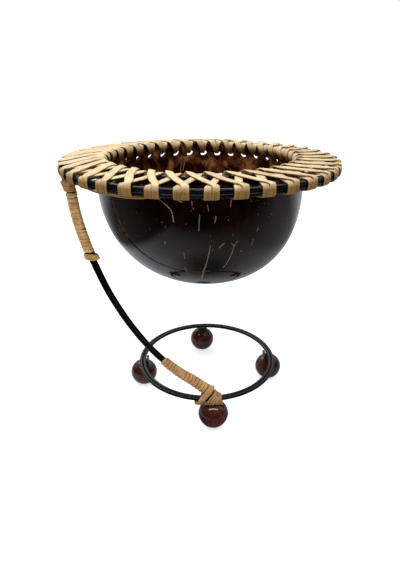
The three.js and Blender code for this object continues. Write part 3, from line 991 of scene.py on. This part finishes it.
makeLacing("underLacing", "under_lacing", 1, 0)
makeLacing("overLacing", "over_lacing", -1, 1)
print("lacing made")


# ---- base ring: two round rods side by side, off to the right of the hoop's middle
ring = {"radius": 50.6 * mm, "middle": Vector((4.8, 0, 22.685)) * mm}

for name, node, side in (
    ("ringOuterRod", "base_ring_outer_rod", 1), ("ringInnerRod", "base_ring_inner_rod", -1),
):
    makeRoundRod(name, node, ring["middle"], ring["radius"] + side * hoop["apart"] / 2)
print("base ring made")


def ringPoint(radius, angle, height):
    return around(radius, angle, height) + Vector((ring["middle"].x, ring["middle"].y, 0))


# ---- feet: turned wooden beads, each held by a metal tab under the ring
feet = {
    "radius": 10.2 * mm,
    "flat": 3.2 * mm,
    "flatRing": 2.24 * mm,
    "drop": 13 * mm,
    "angles": {"front": -84.9 * deg, "right": 9.2 * deg, "back": 95.1 * deg, "left": 180.6 * deg},
    "arcSteps": 30,
    "sides": 56,
    # The front bead swells a little at its middle and is drawn in towards its foot
    "frontForm": (0.03, 0.07),
    # Widths of a tab at its top and at its foot
    "tabWidths": (7.4 * mm, 5.4 * mm),
    "frontTabWidths": (4.4 * mm, 3.2 * mm),
    "tabHeight": 6.2 * mm,
    "tabThick": 1.6 * mm,
    "tabRound": 0.35 * mm,
    "tabGap": 0.25 * mm,
}
stain = {
    "colours": {0.36: (0.018, 0.004, 0.003), 0.5: (0.05, 0.011, 0.007), 0.66: (0.1, 0.026, 0.016)},
    "squeeze": (1, 1, 0.22),
    "grain": (420, 5, 0.6),
    "cloud": (95, 2),
    "grainShare": 0.45,
    "rough": 0.07,
    "bump": (0.12, 0.2 * mm),
}


def makeStain():
    material, tree, place = newMaterial("stained bead wood")
    squeezed = addVectorMath(tree, "MULTIPLY", {0: place, 1: stain["squeeze"]})
    grain = addNoise(tree, squeezed, *stain["grain"])
    cloud = addNoise(tree, place, *stain["cloud"])
    colour = addRamp(tree, addBlend(tree, grain, cloud, stain["grainShare"]), stain["colours"])
    return finishMaterial(material, stain, colour, grain)


stainedWood = makeStain()


def makeFoot(place, angle):
    spot = Matrix.Translation(ringPoint(ring["radius"], angle, ring["middle"].z))
    spot = spot @ Matrix.Rotation(angle, 4, "Z")
    start = math.asin(feet["flat"] / feet["radius"])
    floorHeight = -feet["drop"] - feet["radius"] * math.cos(start)
    profile = [(0, floorHeight), (feet["flatRing"], floorHeight)]
    swell, drawnIn = feet["frontForm"] if place == "front" else (0, 0)
    for step in range(feet["arcSteps"] + 1):
        turn = mix(start, math.pi, step / feet["arcSteps"])
        out, down = math.sin(turn), math.cos(turn)
        radius = feet["radius"] * out * (1 + swell * out - drawnIn * max(down, 0) * out)
        profile.append((radius if step < feet["arcSteps"] else 0, -feet["drop"] - feet["radius"] * down))
    bm = bmesh.new()
    spinProfile(bm, profile, feet["sides"])
    bmesh.ops.transform(bm, matrix=spot, verts=bm.verts)
    finishPiece(f"bead_{place}", bm, [stainedWood], [f"foot_bead_{place}"])
    topWidth, footWidth = feet["frontTabWidths" if place == "front" else "tabWidths"]
    bm = bmesh.new()
    bmesh.ops.create_cube(bm, size=1)
    for vert in bm.verts:
        high = vert.co.z > 0
        width = topWidth if high else footWidth
        vert.co = (vert.co.x * feet["tabThick"], vert.co.y * width, 0 if high else -feet["tabHeight"])
    roundEdges(bm, bm.edges[:], feet["tabRound"], 3)
    inward = hoop["apart"] / 2 + hoop["rod"] + feet["tabThick"] / 2 + feet["tabGap"]
    bmesh.ops.transform(bm, matrix=spot @ Matrix.Translation((-inward, 0, 0)), verts=bm.verts)
    finishPiece(f"tab_{place}", bm, [rodMaterial], [f"foot_bracket_{place}"])


for place, angle in feet["angles"].items():
    makeFoot(place, angle)
print("feet made")


# ---- arm: two rods side by side, curving from the hoop's left down to the front of the ring
arm = {
    "hoopAngle": 202.95 * deg,
    "ringAngle": -82 * deg,
    "top": 171.135 * mm,
    "foot": 26.735 * mm,
    # Share of the way out, share of the way up
    "shape": [
        (0.015, 1), (0.042, 0.93), (0.056, 0.849), (0.096, 0.732), (0.143, 0.637), (0.239, 0.482),
        (0.379, 0.325), (0.533, 0.2), (0.706, 0.103), (0.826, 0.057), (0.893, 0.027), (0.96, 0.004),
        (1.07, 0),
    ],
    "spacing": 0.5 * mm,
    "rodSpacing": 2.5 * mm,
    "cutShort": 11.8 * mm,
    "sides": 20,
}
armTop = around(hoop["radius"], arm["hoopAngle"], 0)
armFoot = ringPoint(ring["radius"], arm["ringAngle"], 0)
armReach = (armFoot - armTop).length
armWay = (armFoot - armTop).normalized()
armSide = Vector((-armWay.y, armWay.x, 0))


def armPoint(reachShare, riseShare):
    point = armTop + armWay * (armReach * reachShare)
    return (point.x, point.y, mix(arm["foot"], arm["top"], riseShare))


armStations = [armPoint(*pair) for pair in arm["shape"]]
armLine = [Vector(point) for point in smoothStations(armStations, arm["spacing"])]
armLengths = [0]
for before, after in zip(armLine, armLine[1:]):
    armLengths.append(armLengths[-1] + (after - before).length)
armLength = armLengths[-1]


# The arm's point and its way up out of the curve, at a length along it
def armFrame(length):
    length = min(max(length, 0), armLength)
    i = min(max(bisect.bisect_left(armLengths, length), 1), len(armLine) - 1)
    share = (length - armLengths[i - 1]) / (armLengths[i] - armLengths[i - 1])
    before, after = armLine[max(i - 2, 0)], armLine[min(i + 1, len(armLine) - 1)]
    along = (after - before).normalized()
    return armLine[i - 1].lerp(armLine[i], share), along.cross(armSide).normalized()


def makeArm():
    rodLength = armLength - arm["cutShort"]
    count = math.ceil(rodLength / arm["rodSpacing"])
    for name, node, side in (("armOuterRod", "arm_outer_rod", -1), ("armInnerRod", "arm_inner_rod", 1)):
        places = []
        for i in range(count + 1):
            point, up = armFrame(rodLength * i / count)
            middle = point + up * side * hoop["apart"] / 2
            places.append(placeAt(middle, armSide, up, hoop["rod"], hoop["rod"]))
        bm = bmesh.new()
        sweepSection(bm, places, corners=arm["sides"])
        finishPiece(name, bm, [rodMaterial], [node], sharp=60)


makeArm()
print("arm made,", round(armLength / mm, 1), "mm long")


# ---- bindings: waxed cane wound round the arm's two rods
bindings = {
    "thickness": 0.95 * mm,
    "tieThicker": 1.3,
    "section": (0.75, 1),
    "ends": 0.5,
    "perTurn": 20,
    # Where on the arm's sides a run starts, as a share of a turn
    "from": 0.3,
    "gap": 0.04 * mm,
    "corner": 3,
    "seed": 11,
    "tonePlay": 0.3,
    # Each run has, in mm, its start and pitch along the arm, its turns, its strip's width and how far it
    # stands off at its start and end, then how much it leans down on the bowl's side, and its tone
    "upper": [
        (2.9, 3.3, 2, 3.5, (0.55, 0.3), 0.38, -0.6),
        (10.2, 3.17, 6.9, 3.1, (0.05, 0.05), 0.3, 1.4),
        (32.2, 2.23, 6.9, 2.2, (0.1, 0), 0.33, 1.2),
    ],
    "tie": [(50, 0.3, 2, 3.9, (-0.1, 1.1), 0.36, 0.55)],
    "lower": [(-50.5, 2.42, 15, 2.35, (0, 0.9), 0, 0.5)],
    # A hair that stands off the upper binding, given like the lacing's loose ends
    "hair": (0.3, 0.3, (-69.5, -37.5, 140.6), (-67.4, -38, 142.5), (-66.3, -38, 145.7)),
}


# Adds a run: a strip on a loop drawn tight round the two rods
def addRun(bm, run, play, thickness):
    start, pitch, turns, width, off, lean, runTone = run
    line, tones = [], []
    perTurn = bindings["perTurn"]
    # A run with a start below zero is measured from the arm's foot
    start = start * mm + (armLength if start < 0 else 0)
    total = round(turns * perTurn)
    for i in range(total + 1):
        turn = (i / perTurn + bindings["from"]) * math.tau
        reach = hoop["rod"] + thickness / 2 + mix(*off, i / total) * mm + bindings["gap"]
        lift = math.tanh(bindings["corner"] * math.sin(turn)) * hoop["apart"] / 2
        leaning = lean * (reach * math.sin(turn) + lift)
        point, up = armFrame(start + pitch * mm * i / perTurn + leaning)
        way = armSide * math.cos(turn) + up * math.sin(turn)
        line.append((point + way * reach + up * lift, way, width * mm))
        if i % perTurn == 0:
            tone = runTone + play.uniform(-1, 1) * bindings["tonePlay"]
        tones.append(tone)
    sweepSection(bm, stripPlaces(line, thickness, bindings["ends"]), bindings["section"], tones)


def makeBindings():
    play = random.Random(bindings["seed"])
    for key, name, node in (
        ("upper", "upperBinding", "upper_binding"), ("tie", "tieBand", "tie_band"),
        ("lower", "lowerBinding", "lower_binding"),
    ):
        bm = bmesh.new()
        thickness = bindings["thickness"] * (bindings["tieThicker"] if key == "tie" else 1)
        for run in bindings[key]:
            addRun(bm, run, play, thickness)
        if key == "upper":
            addStrand(bm, bindings["hair"])
        finishPiece(name, bm, [waxedCane], [node], sharp=70)


makeBindings()
print("bindings made")


# ---- lashings: slanted turns that tie the arm's foot to the ring, over the front bead
lashings = {
    "thickness": 0.85 * mm,
    "section": (0.6, 0.85),
    "ends": 0.5,
    "perTurn": 24,
    "squareness": 2.6,
    "slack": 0.5 * mm,
    # Start and pitch along the ring from the front bead, where on a turn it starts, turns, width, the lean
    # at each end, how far the turns come down from the arm onto the ring at each end, as a share, and how
    # far they lie over others. Lengths are in mm
    "left": {
        "start": -7.2, "pitch": 3.4, "from": 0.75, "turns": 1, "width": 4.4, "lean": (0.75, 0.65),
        "drop": (0, 0), "over": 0.8, "tone": -0.3,
    },
    "right": {
        "start": -2.9, "pitch": 1.5, "from": 0.5, "turns": 5.5, "width": 1.8, "lean": (0.9, 0.15),
        "drop": (0.2, 1), "over": 0, "tone": -0.8,
    },
    # The turns bulge in front of the bead's top
    "bulgeOut": 1.4 * mm,
    "bulgeDown": 1.2 * mm,
    # The tone goes up and down along the turns, and has a little play
    "toneWave": 0.2,
    "waveSpeed": 2.3,
    "tonePlay": 0.02,
}
armMeets = (arm["ringAngle"] - feet["angles"]["front"]) * ring["radius"]
armMeetsLength = armLength - armReach * (arm["shape"][-1][0] - 1)


def makeLashing(name, node, lashing):
    play = random.Random(len(name))
    perTurn, thickness = lashings["perTurn"], lashings["thickness"]
    total = round(lashing["turns"] * perTurn)
    power = 2 / lashings["squareness"]
    floorHeight = ring["middle"].z - hoop["rod"]
    wide = hoop["apart"] / 2 + hoop["rod"] + thickness / 2 + lashings["slack"] + lashing["over"] * mm
    line, tones = [], []
    for i in range(total + 1):
        length = (lashing["start"] + lashing["pitch"] * i / perTurn) * mm
        turn = (i / perTurn + lashing["from"]) * math.tau
        right, up = math.cos(turn), math.sin(turn)
        angle = feet["angles"]["front"] + length / ring["radius"]
        lean = mix(*lashing["lean"], i / total)
        armAt = armFrame(armMeetsLength + length - armMeets)[0].z + hoop["apart"] / 2 + hoop["rod"]
        armAt = mix(armAt, ring["middle"].z + hoop["rod"], mix(*lashing["drop"], i / total))
        half = (armAt - floorHeight) / 2 + thickness / 2 + lashings["slack"] / 2
        out = around(1, angle, 0)
        along = around(1, angle + math.pi / 2, 0)
        point = ringPoint(ring["radius"], angle, (floorHeight + armAt) / 2)
        point += out * signedPower(right, power) * wide
        point += (Vector((0, 0, 1)) + along * lean) * signedPower(up, power) * half
        low = 2 * max(right, 0) * max(-up, 0)
        point += out * low * lashings["bulgeOut"] - Vector((0, 0, low * lashings["bulgeDown"]))
        way = out * signedPower(right, 2 - power) / wide + Vector((0, 0, signedPower(up, 2 - power) / half))
        line.append((point, way.normalized(), lashing["width"] * mm))
        wave = lashings["toneWave"] * math.sin(i / perTurn * lashings["waveSpeed"])
        tones.append(lashing["tone"] + wave + play.uniform(-1, 1) * lashings["tonePlay"])
    bm = bmesh.new()
    sweepSection(bm, stripPlaces(line, thickness, lashings["ends"]), lashings["section"], tones)
    finishPiece(name, bm, [waxedCane], [node], sharp=70)


makeLashing("leftLashing", "left_lashing", lashings["left"])
makeLashing("rightLashing", "right_lashing", lashings["right"])
print("lashings made")
